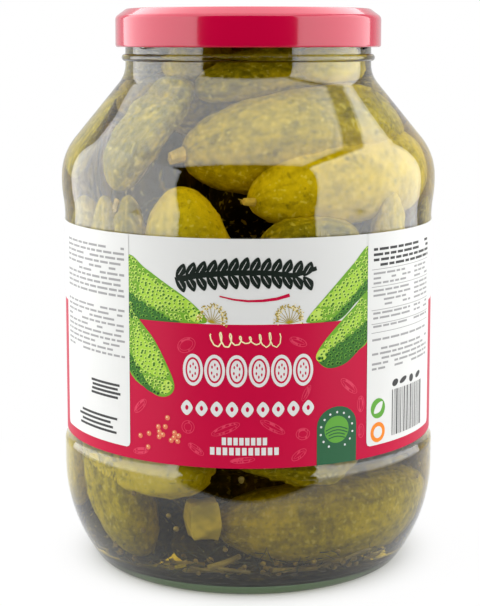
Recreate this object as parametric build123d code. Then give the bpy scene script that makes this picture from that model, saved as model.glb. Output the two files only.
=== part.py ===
from build123d import *
import os
from math import acos, asin, cos, degrees, radians, sin

# Large pickle jar: glass jar, twist-off lid, wrap-round label and brine. Millimetres, +Z up.

os.makedirs("parts", exist_ok=True)

# glass jar: overall
jar_height = 211.25       # from the surface it stands on to the rim
body_radius = 72.1        # the two bands that touch a neighbouring jar
wall = 2.8
base_thickness = 4.1      # at the middle of the base
push_up = 3.4             # height of the hollow under the base
bearing_width = 1.5       # flat ring that the jar stands on

# glass jar: heel, label panel and shoulder
corner_radius = 4.2
heel_radius = 60.0
heel_sweep = 35.7         # degrees of the large heel arc
floor_curve = 540.0        # radius of the domed floor inside
inner_corner = 8.0
lower_band = 8.5          # straight band above the heel
panel_depth = 1.1         # the label panel lies this far inside the bands
lower_step_radius = 4.5
upper_step_radius = 45.0
upper_band = 1.2          # straight band below the shoulder
shoulder_radius = 23.2
shoulder_angle = 39.3     # degrees between the shoulder's cone and the vertical
neck_fillet = 11.4

# glass jar: neck and finish
neck_radius = 47.3
neck_height = 20.6        # straight neck and finish, up to the rim
bead_drop = 18.1          # from the rim to the middle of the transfer bead
bead_radius = 1.4
rim_fillet = 1.0
thread_count = 6
thread_depth = 1.6
thread_root = 1.5         # half heights of a thread at the wall and at its tip
thread_tip = 0.8
thread_span = 50.0        # degrees round the neck
thread_slope = 7.0
thread_sink = 0.8         # how deep a thread's root is sunk into the neck
thread_above_edge = 2.9   # from the lid's lower edge to the middle of a thread

# lid
sheet = 0.35
skirt_depth = 14.2        # from the rim down to the lid's lower edge
thread_clearance = 1.75   # between the threads and the skirt
curl_radius = 0.9
lug_foot = 0.05           # a lug starts this far above the lid's lower edge
lug_height = 0.8
lug_width = 12.0          # degrees
lug_clearance = 0.8       # between a lug and the neck
lid_corner = 2.2
lid_slope = 36.0          # degrees of the sloping ring on the lid's shoulder
channel_corner = 1.5
recess_depth = 1.4        # the top panel lies this far below the channel
recess_angle = 70.0
recess_corner = 0.9
button_radius = 19.0
button_angle = 14.0
button_corner = 4.0

# label and brine
label_thickness = 0.2
label_margin = 1.0        # bare glass between the label and each end of its panel
headspace = 12.25         # from the rim down to the brine


def traced(start, heading, steps, inset=0.0):
    """Tangent lines and arcs from start; a positive turn bends left, and inset runs parallel inside."""
    edges, point, direction = [], Vector(*start), Vector(*heading)
    for turn, size in steps:
        if turn == 0:
            edges.append(Line(point, point + direction * size))
        else:
            radius = size - inset if turn > 0 else size + inset
            edges.append(JernArc(point, direction, radius, turn))
        point, direction = edges[-1] @ 1, edges[-1] % 1
    return edges


def revolved(edges, arc=360):
    return revolve(Plane.XZ * make_face(edges), Axis.Z, arc)


def ring_section(inner, outer, bottom, top):
    return Pos((inner + outer) / 2, (bottom + top) / 2) * Rectangle(outer - inner, top - bottom)


def step_turn(depth, radius):
    """Turn in degrees of each of the two arcs that step a wall sideways by depth."""
    cosine = 1 - depth / (2 * radius)
    return degrees(acos(cosine))


def rise(radius, turn):
    return radius * sin(radians(turn))


# heights and radii that follow from the sizes above
heel_top = corner_radius * (1 - sin(radians(heel_sweep))) + rise(heel_radius, heel_sweep)
lower_turn = step_turn(panel_depth, lower_step_radius)
upper_turn = step_turn(panel_depth, upper_step_radius)
shoulder_in = (shoulder_radius + neck_fillet) * (1 - cos(radians(shoulder_angle)))
cone_length = (body_radius - shoulder_in - neck_radius) / sin(radians(shoulder_angle))
shoulder_rise = rise(shoulder_radius + neck_fillet, shoulder_angle)
shoulder_rise += cone_length * cos(radians(shoulder_angle))
shoulder_bottom = jar_height - neck_height - shoulder_rise
panel_radius = body_radius - panel_depth
panel_bottom = heel_top + lower_band + 2 * rise(lower_step_radius, lower_turn)
panel_top = shoulder_bottom - upper_band - 2 * rise(upper_step_radius, upper_turn)
bearing_radius = body_radius - heel_radius
bearing_radius += (heel_radius - corner_radius) * cos(radians(heel_sweep))
bore_radius = neck_radius - wall
lid_edge = jar_height - skirt_depth
lid_radius = neck_radius + thread_depth + thread_clearance + sheet
bearing_inner = bearing_radius - bearing_width
hollow_curve = (bearing_inner**2 + push_up**2) / (2 * push_up)
floor_height = push_up + base_thickness

wall_steps = [
    (heel_sweep, heel_radius),
    (0, lower_band),
    (lower_turn, lower_step_radius),
    (-lower_turn, lower_step_radius),
    (0, panel_top - panel_bottom),
    (-upper_turn, upper_step_radius),
    (upper_turn, upper_step_radius),
    (0, upper_band),
    (shoulder_angle, shoulder_radius),
    (0, cone_length),
    (-shoulder_angle, neck_fillet),
    (0, neck_height),
]


def heel_start(inset):
    """Where the large heel arc begins, and the way it heads there."""
    radius = heel_radius - inset
    x = body_radius - heel_radius + radius * cos(radians(heel_sweep))
    z = heel_top - rise(radius, heel_sweep)
    return (x, z), (sin(radians(heel_sweep)), cos(radians(heel_sweep)))


def dome(height, radius, width):
    """An arc from the axis, level there and falling outward to the width given."""
    return traced((0, height), (1, 0), [(-degrees(asin(width / radius)), radius)])[0]


def jar_blank():
    """The jar's outside as a solid, with the hollow under its base."""
    corner = traced((bearing_radius, 0), (1, 0), [(90 - heel_sweep, corner_radius)])
    wall_edges = traced(*heel_start(0), wall_steps)
    closing = [
        dome(push_up, hollow_curve, bearing_inner),
        Line((bearing_inner, 0), (bearing_radius, 0)),
        Line(wall_edges[-1] @ 1, (0, jar_height)),
        Line((0, jar_height), (0, push_up)),
    ]
    return revolved(corner + wall_edges + closing)


def cavity(top):
    """The space inside the glass, from the domed floor up to the height given."""
    wall_edges = traced(*heel_start(wall), wall_steps, wall)
    foot = wall_edges[0] @ 0
    closing = [
        Line(wall_edges[-1] @ 1, (0, jar_height)),
        Line((0, jar_height), (0, foot.Y)),
        Line((0, foot.Y), foot),
    ]
    floor = dome(floor_height, floor_curve, body_radius)
    above = [
        floor,
        Line(floor @ 1, (body_radius, top)),
        Line((body_radius, top), (0, top)),
        Line((0, top), (0, floor_height)),
    ]
    section = make_face(wall_edges + closing) & make_face(above)
    section = fillet(section.vertices().sort_by(Axis.Y)[0], inner_corner)
    return revolve(Plane.XZ * section, Axis.Z)


def transfer_bead():
    return revolve(Plane.XZ * Pos(neck_radius, jar_height - bead_drop) * Circle(bead_radius), Axis.Z)


def thread(index):
    """One slanted thread, drawn flat at height 0, tilted about its own middle and lifted."""
    tip = neck_radius + thread_depth
    root = neck_radius - thread_sink
    section = make_face(Polyline(
        (root, -thread_root), (tip, -thread_tip), (tip, thread_tip), (root, thread_root), close=True))
    rib = Rot(0, 0, -thread_span / 2) * revolve(Plane.XZ * section, Axis.Z, thread_span)
    lift = lid_edge + thread_above_edge
    turn = index * 360 / thread_count
    return Rot(0, 0, turn) * Pos(0, 0, lift) * Rot(thread_slope, 0, 0) * rib


def glass_jar():
    jar = jar_blank() + transfer_bead()
    for index in range(thread_count):
        jar += thread(index)
    jar -= cavity(jar_height)
    return fillet(jar.edges().group_by(Axis.Z)[-1], rim_fillet)


def lid_shell():
    """Sheet from the skirt over the channel on the rim to the recessed panel and its button."""
    channel_outer = neck_radius - rim_fillet
    channel_inner = bore_radius + rim_fillet / 2
    slope_run = lid_radius - lid_corner * (1 - sin(radians(lid_slope)))
    slope_run -= channel_outer + rise(channel_corner, lid_slope)
    slope_length = slope_run / cos(radians(lid_slope))
    skirt = skirt_depth + sheet - curl_radius - lid_corner * cos(radians(lid_slope))
    skirt -= rise(slope_length, lid_slope) + channel_corner * (1 - cos(radians(lid_slope)))
    recess_turned = 2 * recess_corner * (1 - cos(radians(recess_angle)))
    recess_line = (recess_depth - recess_turned) / sin(radians(recess_angle))
    recess_run = 2 * rise(recess_corner, recess_angle) + recess_line * cos(radians(recess_angle))
    panel_flat = channel_inner - recess_run - button_radius
    steps = [
        (0, skirt),
        (90 - lid_slope, lid_corner),
        (0, slope_length),
        (lid_slope, channel_corner),
        (0, channel_outer - channel_inner),
        (recess_angle, recess_corner),
        (0, recess_line),
        (-recess_angle, recess_corner),
        (0, panel_flat),
        (button_angle, button_corner),
        (-button_angle, button_corner),
    ]
    foot = lid_edge + curl_radius
    top = traced((lid_radius, foot), (0, 1), steps)
    under = traced((lid_radius - sheet, foot), (0, 1), steps, sheet)
    top_end, under_end = top[-1] @ 1, under[-1] @ 1
    closing = [
        Line((lid_radius - sheet, foot), (lid_radius, foot)),
        Line(top_end, (0, top_end.Y)),
        Line((0, top_end.Y), (0, under_end.Y)),
        Line((0, under_end.Y), under_end),
    ]
    return revolved(top + under + closing)


def lug(index):
    section = ring_section(
        neck_radius + lug_clearance, lid_radius - curl_radius, lid_edge + lug_foot, lid_edge + lug_height)
    turn = index * 360 / thread_count - lug_width / 2
    return Rot(0, 0, turn) * revolve(Plane.XZ * section, Axis.Z, lug_width)


def lid():
    curl = Pos(lid_radius - curl_radius, lid_edge + curl_radius) * Circle(curl_radius)
    cap = lid_shell() + revolve(Plane.XZ * curl, Axis.Z)
    for index in range(thread_count):
        cap += lug(index)
    return cap


def label():
    sleeve = ring_section(
        panel_radius, panel_radius + label_thickness, panel_bottom + label_margin, panel_top - label_margin)
    return revolve(Plane.XZ * sleeve, Axis.Z)


pieces = {
    "glass_jar": glass_jar(),
    "lid": lid(),
    "label": label(),
    "brine": cavity(jar_height - headspace),
}
for name, piece in pieces.items():
    export_step(piece, f"parts/{name}.step")
    box = piece.bounding_box()
    print(name, "volume", round(piece.volume), "height", round(box.min.Z, 2), round(box.max.Z, 2))
print("label panel", round(panel_bottom, 2), round(panel_top, 2), "shoulder", round(shoulder_bottom, 2))
print("capacity ml", round(cavity(jar_height).volume / 1000))
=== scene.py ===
import random
from math import acos, atan2, cos, degrees, pi, radians, sin, sqrt

import bmesh
import bpy
from mathutils import Euler, Matrix, Vector, noise


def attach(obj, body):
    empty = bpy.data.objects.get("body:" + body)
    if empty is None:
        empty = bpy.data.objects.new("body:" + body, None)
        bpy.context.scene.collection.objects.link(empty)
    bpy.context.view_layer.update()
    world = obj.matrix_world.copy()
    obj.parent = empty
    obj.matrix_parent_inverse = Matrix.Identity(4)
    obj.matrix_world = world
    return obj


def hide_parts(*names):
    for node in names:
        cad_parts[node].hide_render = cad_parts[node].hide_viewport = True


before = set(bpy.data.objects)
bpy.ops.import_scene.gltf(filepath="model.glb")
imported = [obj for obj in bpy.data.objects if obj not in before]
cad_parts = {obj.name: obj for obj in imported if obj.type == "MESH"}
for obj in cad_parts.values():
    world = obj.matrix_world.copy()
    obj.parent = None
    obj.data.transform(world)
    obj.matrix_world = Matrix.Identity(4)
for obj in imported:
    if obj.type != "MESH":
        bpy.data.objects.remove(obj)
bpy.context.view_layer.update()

mm = 0.001
rng = random.Random(7)


# a wrapped socket, so that shader maths reads as Python
class Socket:
    def __init__(self, tree, socket):
        self.tree = tree
        self.socket = socket

    def maths(self, operation, first, second):
        return node(self.tree, "ShaderNodeMath", {"operation": operation}, {0: first, 1: second})

    def __add__(self, other):
        return self.maths("ADD", self, other)

    def __sub__(self, other):
        return self.maths("SUBTRACT", self, other)

    def __rsub__(self, other):
        return self.maths("SUBTRACT", other, self)

    def __mul__(self, other):
        return self.maths("MULTIPLY", self, other)

    def __gt__(self, other):
        return self.maths("GREATER_THAN", self, other)

    def __lt__(self, other):
        return self.maths("LESS_THAN", self, other)

    def larger(self, other):
        return self.maths("MAXIMUM", self, other)

    __radd__, __rmul__ = __add__, __mul__


def node(tree, kind, settings, values, output=0):
    made = tree.nodes.new(kind)
    for name, value in settings.items():
        setattr(made, name, value)
    for name, value in values.items():
        target = made.inputs[name]
        if isinstance(value, Socket):
            tree.links.new(value.socket, target)
        elif target.type == "RGBA":
            target.default_value = (*value, 1)
        else:
            target.default_value = value
    return Socket(tree, made.outputs[output])


def mixed(tree, factor, first, second):
    # the colour sockets of a Mix node are numbers 6 and 7, and its result is number 2
    return node(tree, "ShaderNodeMix", {"data_type": "RGBA"}, {0: factor, 6: first, 7: second}, 2)


def smoothed(tree, value, low, high):
    settings = {"interpolation_type": "SMOOTHSTEP"}
    return node(tree, "ShaderNodeMapRange", settings, {0: value, 1: low, 2: high, 3: 0.0, 4: 1.0})


def material(name):
    made = bpy.data.materials.new(name)
    made.use_nodes = True
    made.node_tree.nodes.clear()
    return made, made.node_tree


def finishMaterial(tree, surface, volume=None):
    out = tree.nodes.new("ShaderNodeOutputMaterial")
    tree.links.new(surface.socket, out.inputs["Surface"])
    if volume is not None:
        tree.links.new(volume.socket, out.inputs["Volume"])


def principled(tree, **values):
    named = {key.replace("_", " "): value for key, value in values.items()}
    return node(tree, "ShaderNodeBsdfPrincipled", {}, named)


def noiseField(tree, where, scale, detail=2.0, rough=0.5):
    values = {"Vector": where, "Scale": scale, "Detail": detail, "Roughness": rough}
    return node(tree, "ShaderNodeTexNoise", {}, values)


def coordinates(tree, kind="Object"):
    return node(tree, "ShaderNodeTexCoord", {}, {}, kind)


def ray(tree, kind):
    return node(tree, "ShaderNodeLightPath", {}, {}, "Is %s Ray" % kind)


def axis(tree, vector, name):
    return node(tree, "ShaderNodeSeparateXYZ", {}, {0: vector}, name)


def bumped(tree, height, distance, strength):
    return node(tree, "ShaderNodeBump", {}, {"Height": height, "Distance": distance, "Strength": strength})


def finishClear(tree, colour, sizes):
    # clear to light from all sides, coloured by its depth, and giving only a light shadow
    clear = principled(tree, Base_Color=colour, Roughness=0.0, IOR=sizes["ior"], Transmission_Weight=1.0)
    shadow = node(tree, "ShaderNodeBsdfTransparent", {}, {"Color": sizes["shadow"]})
    surface = node(tree, "ShaderNodeMixShader", {}, {0: ray(tree, "Shadow"), 1: clear, 2: shadow})
    tint = node(tree, "ShaderNodeVolumeAbsorption", {}, {"Color": sizes["tint"], "Density": sizes["density"]})
    finishMaterial(tree, surface, tint)


def placed(name, data):
    thing = bpy.data.objects.new(name, data)
    bpy.context.scene.collection.objects.link(thing)
    return thing


def finishPiece(bm, name, materials, replaced=(), smooth=True, sharp=35.0):
    mesh = bpy.data.meshes.new(name)
    bm.to_mesh(mesh)
    bm.free()
    for made in materials:
        mesh.materials.append(made)
    if smooth:
        mesh.polygons.foreach_set("use_smooth", [True] * len(mesh.polygons))
        mesh.set_sharp_from_angle(angle=radians(sharp))
    piece = placed(name, mesh)
    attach(piece, "root")
    if replaced:
        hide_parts(*replaced)
    print(name, len(mesh.polygons), "faces")
    return piece


def traced(start, heading, steps, inset=0.0):
    # tangent lines and arcs in mm; a positive turn bends left, inset runs parallel inside
    x, z = start
    angle = atan2(heading[1], heading[0])
    points = [(x, z)]
    for turn, size, parts in steps:
        if turn == 0:
            for step in range(1, parts + 1):
                run = size * step / parts
                points.append((x + cos(angle) * run, z + sin(angle) * run))
        else:
            side = 1 if turn > 0 else -1
            radius = size - side * inset
            centreX, centreZ = x - side * radius * sin(angle), z + side * radius * cos(angle)
            for step in range(1, parts + 1):
                bent = angle + radians(turn) * step / parts
                points.append((centreX + side * radius * sin(bent), centreZ - side * radius * cos(bent)))
            angle += radians(turn)
        x, z = points[-1]
    return points


def arc(x, z, radius, first, last, parts):
    # points round a centre, from one angle in degrees to another
    angles = [radians(first + (last - first) * step / parts) for step in range(parts + 1)]
    return [(x + radius * cos(angle), z + radius * sin(angle)) for angle in angles]


def spun(profile, segments):
    bm = bmesh.new()
    verts = [bm.verts.new((x * mm, 0, z * mm)) for x, z in profile]
    for first, second in zip(verts, verts[1:]):
        bm.edges.new((first, second))
    bmesh.ops.spin(bm, geom=bm.verts[:] + bm.edges[:], cent=(0, 0, 0), axis=(0, 0, 1),
                   angle=2 * pi, steps=segments, use_merge=True, dvec=(0, 0, 0))
    bmesh.ops.remove_doubles(bm, verts=bm.verts, dist=1e-6)
    bmesh.ops.recalc_face_normals(bm, faces=bm.faces)
    return bm


def joinIn(bm, other):
    # moves the shape of one bmesh into another
    carried = bpy.data.meshes.new("carried")
    other.to_mesh(carried)
    other.free()
    bm.from_mesh(carried)
    bpy.data.meshes.remove(carried)


def addBentBar(bm, section, sweep, steps, place):
    # a bar of the section given in mm, bent round the axis by sweep in degrees, then put in its place
    bent = bmesh.new()
    face = bent.faces.new([bent.verts.new((x * mm, 0, z * mm)) for x, z in section])
    bent.transform(Matrix.Rotation(-radians(sweep) / 2, 4, "Z"))
    bmesh.ops.spin(bent, geom=[face] + face.edges[:] + face.verts[:], cent=(0, 0, 0), axis=(0, 0, 1),
                   angle=radians(sweep), steps=steps, dvec=(0, 0, 0))
    bmesh.ops.recalc_face_normals(bent, faces=bent.faces)
    bent.transform(place)
    joinIn(bm, bent)


# sizes in mm and degrees
jar = {
    "height": 211.25, "bodyRadius": 72.1, "wall": 2.8, "floorHeight": 7.5, "pushUp": 3.4,
    "bearingWidth": 1.5, "cornerRadius": 4.2, "heelRadius": 60.0, "heelSweep": 35.7,
    "lowerBand": 8.5, "panelDepth": 1.1, "lowerStep": 4.5, "upperStep": 45.0, "upperBand": 1.2,
    "shoulderRadius": 23.2, "shoulderAngle": 39.3, "neckFillet": 11.4, "neckRadius": 47.3,
    "neckHeight": 20.6, "beadDrop": 18.1, "beadRadius": 1.4, "rimRadius": 1.0,
    "innerCorner": 8.0, "floorCurve": 540.0, "domeEdge": 56.0,
    "segments": 144, "ior": 1.5, "tint": (0.55, 0.82, 0.60), "density": 14.0,
    # the foot's tint is partly the green of thick glass and partly painted shade
    "shadow": (0.96, 0.96, 0.96), "footShadeTint": (0.15, 0.16, 0.10), "footShadeBand": (0.003, 0.008),
}
# the threads are part of the glass, and the lid has as many lugs as the glass has threads
lidSizes = {
    "sheet": 0.35, "skirtDepth": 14.2, "curl": 0.9, "curlTurn": 307.7, "clearance": 1.75,
    "corner": 2.2, "slope": 36.0, "channelCorner": 1.5, "recess": 1.4, "recessAngle": 70.0,
    "recessCorner": 0.9, "buttonRadius": 19.0, "buttonAngle": 14.0, "buttonCorner": 4.0,
    "threads": 6, "threadSpan": 50.0, "threadSlope": 7.0, "threadAboveEdge": 2.9, "threadDepth": 1.6,
    "threadRoot": 1.5, "threadTip": 0.8, "threadSink": 0.8,
    "lugFoot": 0.05, "lugHeight": 0.8, "lugWidth": 12.0, "lugClearance": 0.8,
    "colour": (0.48, 0.0, 0.036),
}
panelRadius = jar["bodyRadius"] - jar["panelDepth"]
boreRadius = jar["neckRadius"] - jar["wall"]
lidEdge = jar["height"] - lidSizes["skirtDepth"]
lidRadius = jar["neckRadius"] + lidSizes["threadDepth"] + lidSizes["clearance"] + lidSizes["sheet"]


def stepTurn(depth, radius):
    return degrees(acos(1 - depth / (2 * radius)))


def rise(radius, turn):
    return radius * sin(radians(turn))


heelLift = jar["cornerRadius"] * (1 - sin(radians(jar["heelSweep"])))
heelTop = heelLift + rise(jar["heelRadius"], jar["heelSweep"])
lowerTurn = stepTurn(jar["panelDepth"], jar["lowerStep"])
upperTurn = stepTurn(jar["panelDepth"], jar["upperStep"])
shoulderIn = (jar["shoulderRadius"] + jar["neckFillet"]) * (1 - cos(radians(jar["shoulderAngle"])))
coneLength = (jar["bodyRadius"] - shoulderIn - jar["neckRadius"]) / sin(radians(jar["shoulderAngle"]))
shoulderBottom = (jar["height"] - jar["neckHeight"] - coneLength * cos(radians(jar["shoulderAngle"]))
                  - rise(jar["shoulderRadius"] + jar["neckFillet"], jar["shoulderAngle"]))
panelBottom = heelTop + jar["lowerBand"] + 2 * rise(jar["lowerStep"], lowerTurn)
panelTop = shoulderBottom - jar["upperBand"] - 2 * rise(jar["upperStep"], upperTurn)
bearingRadius = (jar["bodyRadius"] - jar["heelRadius"]
                 + (jar["heelRadius"] - jar["cornerRadius"]) * cos(radians(jar["heelSweep"])))
wallSteps = [
    (jar["heelSweep"], jar["heelRadius"], 16),
    (0, jar["lowerBand"], 2),
    (lowerTurn, jar["lowerStep"], 6),
    (-lowerTurn, jar["lowerStep"], 6),
    (0, panelTop - panelBottom, 6),
    (-upperTurn, jar["upperStep"], 5),
    (upperTurn, jar["upperStep"], 5),
    (0, jar["upperBand"], 1),
    (jar["shoulderAngle"], jar["shoulderRadius"], 14),
    (0, coneLength, 4),
    (-jar["shoulderAngle"], jar["neckFillet"], 12),
    (0, jar["neckHeight"], 4),
]


def wallProfile(inset):
    radius = jar["heelRadius"] - inset
    sweep = radians(jar["heelSweep"])
    start = (jar["bodyRadius"] - jar["heelRadius"] + radius * cos(sweep), heelTop - radius * sin(sweep))
    return traced(start, (sin(sweep), cos(sweep)), wallSteps, inset)


def fillProfile(inset, top):
    # inner side of the glass, from the axis out along the domed floor and up to the height given
    deeper = jar["wall"] - inset
    middle = jar["floorHeight"] - deeper
    corner, dome = jar["innerCorner"] + deeper, jar["floorCurve"]
    centreX, bigRadius = jar["bodyRadius"] - jar["heelRadius"], jar["heelRadius"] - inset
    # the rounded corner touches both the dome and the arc of the wall: its angle is found by halving
    low, high = 0.1, 1.4
    for step in range(40):
        meet = (low + high) / 2
        x = centreX + (bigRadius - corner) * cos(meet)
        z = heelTop - (bigRadius - corner) * sin(meet)
        if sqrt(x ** 2 + (z - middle + dome) ** 2) > dome + corner:
            low = meet
        else:
            high = meet
    turned = degrees(atan2(x, z - middle + dome))
    points = arc(0, middle - dome, dome, 90, 90 - turned, 8)
    points += arc(x, z, corner, -90 - turned, -degrees(meet), 10)[1:]
    meetHeight = heelTop - bigRadius * sin(meet)
    points += [point for point in wallProfile(inset) if meetHeight + 0.3 < point[1] < top - 0.2]
    points.append((jar["neckRadius"] - inset, top))
    return points


def glassMaterial():
    made, tree = material("clearGlass")
    # painted shade: the glass is tinted dark green up to 3 mm and fades out by 8 mm, partly the green of
    # thick glass and partly the shade the foot rests in
    above = smoothed(tree, axis(tree, coordinates(tree), "Z"), *jar["footShadeBand"])
    finishClear(tree, mixed(tree, above, jar["footShadeTint"], (1.0, 1.0, 1.0)), jar)
    return made


def buildJar():
    outer = wallProfile(0)
    neck, rim, rimTop = jar["neckRadius"], jar["rimRadius"], jar["height"] - jar["rimRadius"]
    bead = arc(neck, jar["height"] - jar["beadDrop"], jar["beadRadius"], -90, 90, 10)
    below = [point for point in outer if point[1] < bead[0][1] - 0.1]
    rimOut = arc(neck - rim, rimTop, rim, 0, 90, 6)
    rimIn = arc(boreRadius + rim, rimTop, rim, 90, 180, 6)
    foot = traced((bearingRadius, 0), (1, 0), [(90 - jar["heelSweep"], jar["cornerRadius"], 8)])
    hollowEdge = bearingRadius - jar["bearingWidth"]
    hollow = [(hollowEdge * step / 8, jar["pushUp"] * (1 - (step / 8) ** 2)) for step in range(9)]
    inner = fillProfile(jar["wall"], rimTop - 0.5)
    bm = spun(hollow + foot[:-1] + below + bead + rimOut + rimIn + inner[::-1], jar["segments"])
    # slanted threads round the neck, each sunk a little into the glass
    tip, root = neck + lidSizes["threadDepth"], neck - lidSizes["threadSink"]
    section = [(root, -lidSizes["threadRoot"]), (tip, -lidSizes["threadTip"]),
               (tip, lidSizes["threadTip"]), (root, lidSizes["threadRoot"])]
    lift = Matrix.Translation((0, 0, (lidEdge + lidSizes["threadAboveEdge"]) * mm))
    slant = Matrix.Rotation(radians(lidSizes["threadSlope"]), 4, "X")
    for index in range(lidSizes["threads"]):
        turn = Matrix.Rotation(2 * pi * index / lidSizes["threads"], 4, "Z")
        addBentBar(bm, section, lidSizes["threadSpan"], 12, turn @ lift @ slant)
    return finishPiece(bm, "glassJar", [glassMaterial()], ["glass_jar"], sharp=40)


def lidProfile():
    channelOuter = jar["neckRadius"] - jar["rimRadius"]
    channelInner = boreRadius + jar["rimRadius"] / 2
    slope = radians(lidSizes["slope"])
    corner = lidSizes["corner"]
    slopeRun = (lidRadius - corner * (1 - sin(slope)) - channelOuter
                - rise(lidSizes["channelCorner"], lidSizes["slope"]))
    slopeLength = slopeRun / cos(slope)
    skirt = (lidSizes["skirtDepth"] + lidSizes["sheet"] - lidSizes["curl"] - corner * cos(slope)
             - slopeLength * sin(slope) - lidSizes["channelCorner"] * (1 - cos(slope)))
    bend, bendRadius = lidSizes["recessAngle"], lidSizes["recessCorner"]
    recessLine = (lidSizes["recess"] - 2 * bendRadius * (1 - cos(radians(bend)))) / sin(radians(bend))
    recessRun = 2 * rise(bendRadius, bend) + recessLine * cos(radians(bend))
    steps = [
        (0, skirt, 4),
        (90 - lidSizes["slope"], corner, 8),
        (0, slopeLength, 2),
        (lidSizes["slope"], lidSizes["channelCorner"], 4),
        (0, channelOuter - channelInner, 2),
        (bend, bendRadius, 6),
        (0, recessLine, 1),
        (-bend, bendRadius, 6),
        (0, channelInner - recessRun - lidSizes["buttonRadius"], 4),
        (lidSizes["buttonAngle"], lidSizes["buttonCorner"], 4),
        (-lidSizes["buttonAngle"], lidSizes["buttonCorner"], 4),
    ]
    curl = lidSizes["curl"]
    foot = lidEdge + curl
    top = traced((lidRadius, foot), (0, 1), steps)
    under = traced((lidRadius - lidSizes["sheet"], foot), (0, 1), steps, lidSizes["sheet"])
    turned = arc(lidRadius - curl, foot, curl, 0, -lidSizes["curlTurn"], 14)[1:]
    return [(0, top[-1][1])] + top[::-1] + turned + under[1:] + [(0, under[-1][1])]


def buildLid():
    bm = spun(lidProfile(), jar["segments"])
    outer, inner = lidRadius - lidSizes["curl"], jar["neckRadius"] + lidSizes["lugClearance"]
    low, high = lidEdge + lidSizes["lugFoot"], lidEdge + lidSizes["lugHeight"]
    section = [(inner, low), (outer, low), (outer, high), (inner, high)]
    for index in range(lidSizes["threads"]):
        turn = Matrix.Rotation(2 * pi * index / lidSizes["threads"], 4, "Z")
        addBentBar(bm, section, lidSizes["lugWidth"], 4, turn)
    made, tree = material("lidPaint")
    waves = noiseField(tree, coordinates(tree), 14.0, 1.0)
    paint = principled(tree, Base_Color=lidSizes["colour"], Roughness=0.16, IOR=1.5, Coat_Weight=0.6,
                       Coat_Roughness=0.05, Normal=bumped(tree, waves, 0.0012, 0.5))
    finishMaterial(tree, paint)
    return finishPiece(bm, "lidShell", [made], ["lid"], sharp=50)


brineSizes = {
    "intoWall": 0.3, "top": 199.0, "ior": 1.36, "shadow": (1.0, 1.0, 1.0),
    "tint": (0.965, 0.88, 0.10), "density": 45.0,
}


def innerRadius(height):
    # the lowest point of the inside lies in the corner, where the dome ends
    stretches = [pair for pair in zip(wallInside, wallInside[1:]) if pair[0][0] > jar["domeEdge"]]
    lowest = stretches[0][0]
    if height <= lowest[1]:
        return lowest[0]
    for (x1, z1), (x2, z2) in stretches:
        if z1 <= height <= z2:
            return x1 + (x2 - x1) * (height - z1) / (z2 - z1)
    return boreRadius


def buildBrine():
    profile = fillProfile(jar["wall"] - brineSizes["intoWall"], brineSizes["top"])
    bm = spun(profile + [(0, brineSizes["top"])], jar["segments"])
    made, tree = material("brine")
    finishClear(tree, (1.0, 1.0, 1.0), brineSizes)
    return finishPiece(bm, "brineFill", [made], ["brine"], sharp=40)


# two end points, diameter and bend of each gherkin in mm, and a last number from 0 to 1 for its colour and
# shade: above 0.25 the gherkin's own olive to yellow, below 0.25 painted shade that darkens the gherkins deep
# inside nearly to black
# the first ones are seen from the front and stay put; the others make room for them
shownGherkins = [
    # lying in the neck and under the shoulder
    ((-22, -32, 189), (-8, 14, 188), 21, (0, 0, 1), 0.50),
    ((-18, -34, 178), (33, -17, 188), 23, (0, 0, 3), 0.45),
    ((19, -36, 190), (35, -3, 188), 19, (0, 0, 0), 0.75),
    ((-39, -12, 188.4), (-30, 24, 188.4), 20, (0, 0, 0), 0.40),
    ((-27, 33, 188.4), (14, 36, 188.4), 20, (0, 1, 0), 0.30),
    ((3, 18, 188.4), (41, 14, 188.4), 20, (0, 0, 0), 0.30),
    ((-52, 18, 173), (-14, 34, 150), 25, (0, 0, 0), 0.30),
    # this one stands deep in the middle, and its low value is painted shade
    ((2, -4, 158), (4, -2, 96), 30, (0, 0, 0), 0.05),
    ((-46, -44, 147), (-21, -30, 184), 22, (-2, -2, 1), 0.36),
    ((-21, -46, 156), (52, -8, 166), 33, (6, -6, 2), 0.56),
    ((1, -54, 144), (58, -8, 152), 27, (4, -5, 0), 0.72),
    ((-23, -51, 148), (-16, -50, 74), 33, (0, 0, 0), 0.80),
    ((4, -57, 129), (38, -48, 124), 24, (3, -3, 0), 0.40),
    # standing at the left, and one leaning on the shoulder there
    ((-54, -23, 143), (-54, -20, 72), 23, (0, 0, 0), 0.45),
    ((-48.5, -37.5, 144), (-47, -38, 76), 16, (0, 0, 0), 0.45),
    ((-40.5, -47.5, 145), (-39, -46, 80), 15, (0, 0, 0), 0.42),
    ((-61, -24, 149), (-53, -10, 177), 20, (-2, 0, 2), 0.55),
    # standing at the right
    ((48, -37, 146), (46, -36, 72), 17, (0, 0, 0), 0.60),
    ((60, -14, 142), (57, -12, 66), 19, (0, 0, 0), 0.45),
    # lower layer
    ((-50, -26, 80), (-36, -40, 12), 27, (-5, -4, 0), 0.55),
    ((-57, -28, 52), (-12, -57, 46), 26, (-4, -5, 0), 0.80),
    ((-63, -13, 68), (-57, -9, 22), 24, (0, 0, 0), 0.80),
    ((61, -12, 84), (60, -8, 42), 22, (0, 0, 0), 0.60),
    ((60, 5, 58), (52, 9, 17), 24, (0, 0, 0), 0.75),
    ((-11, -48, 26), (60, -12, 28), 29, (5, -9, -1), 0.55),
    ((-8, -56, 55), (38, -47, 50), 21, (3, -4, -1), 0.45),
    ((-54, -13, 15.5), (-21, -17, 15.5), 16, (0, 0, 0), 0.15),
    ((-24, -24, 14.8), (8, -20, 14.8), 14, (0, 0, 0), 0.15),
]
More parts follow.
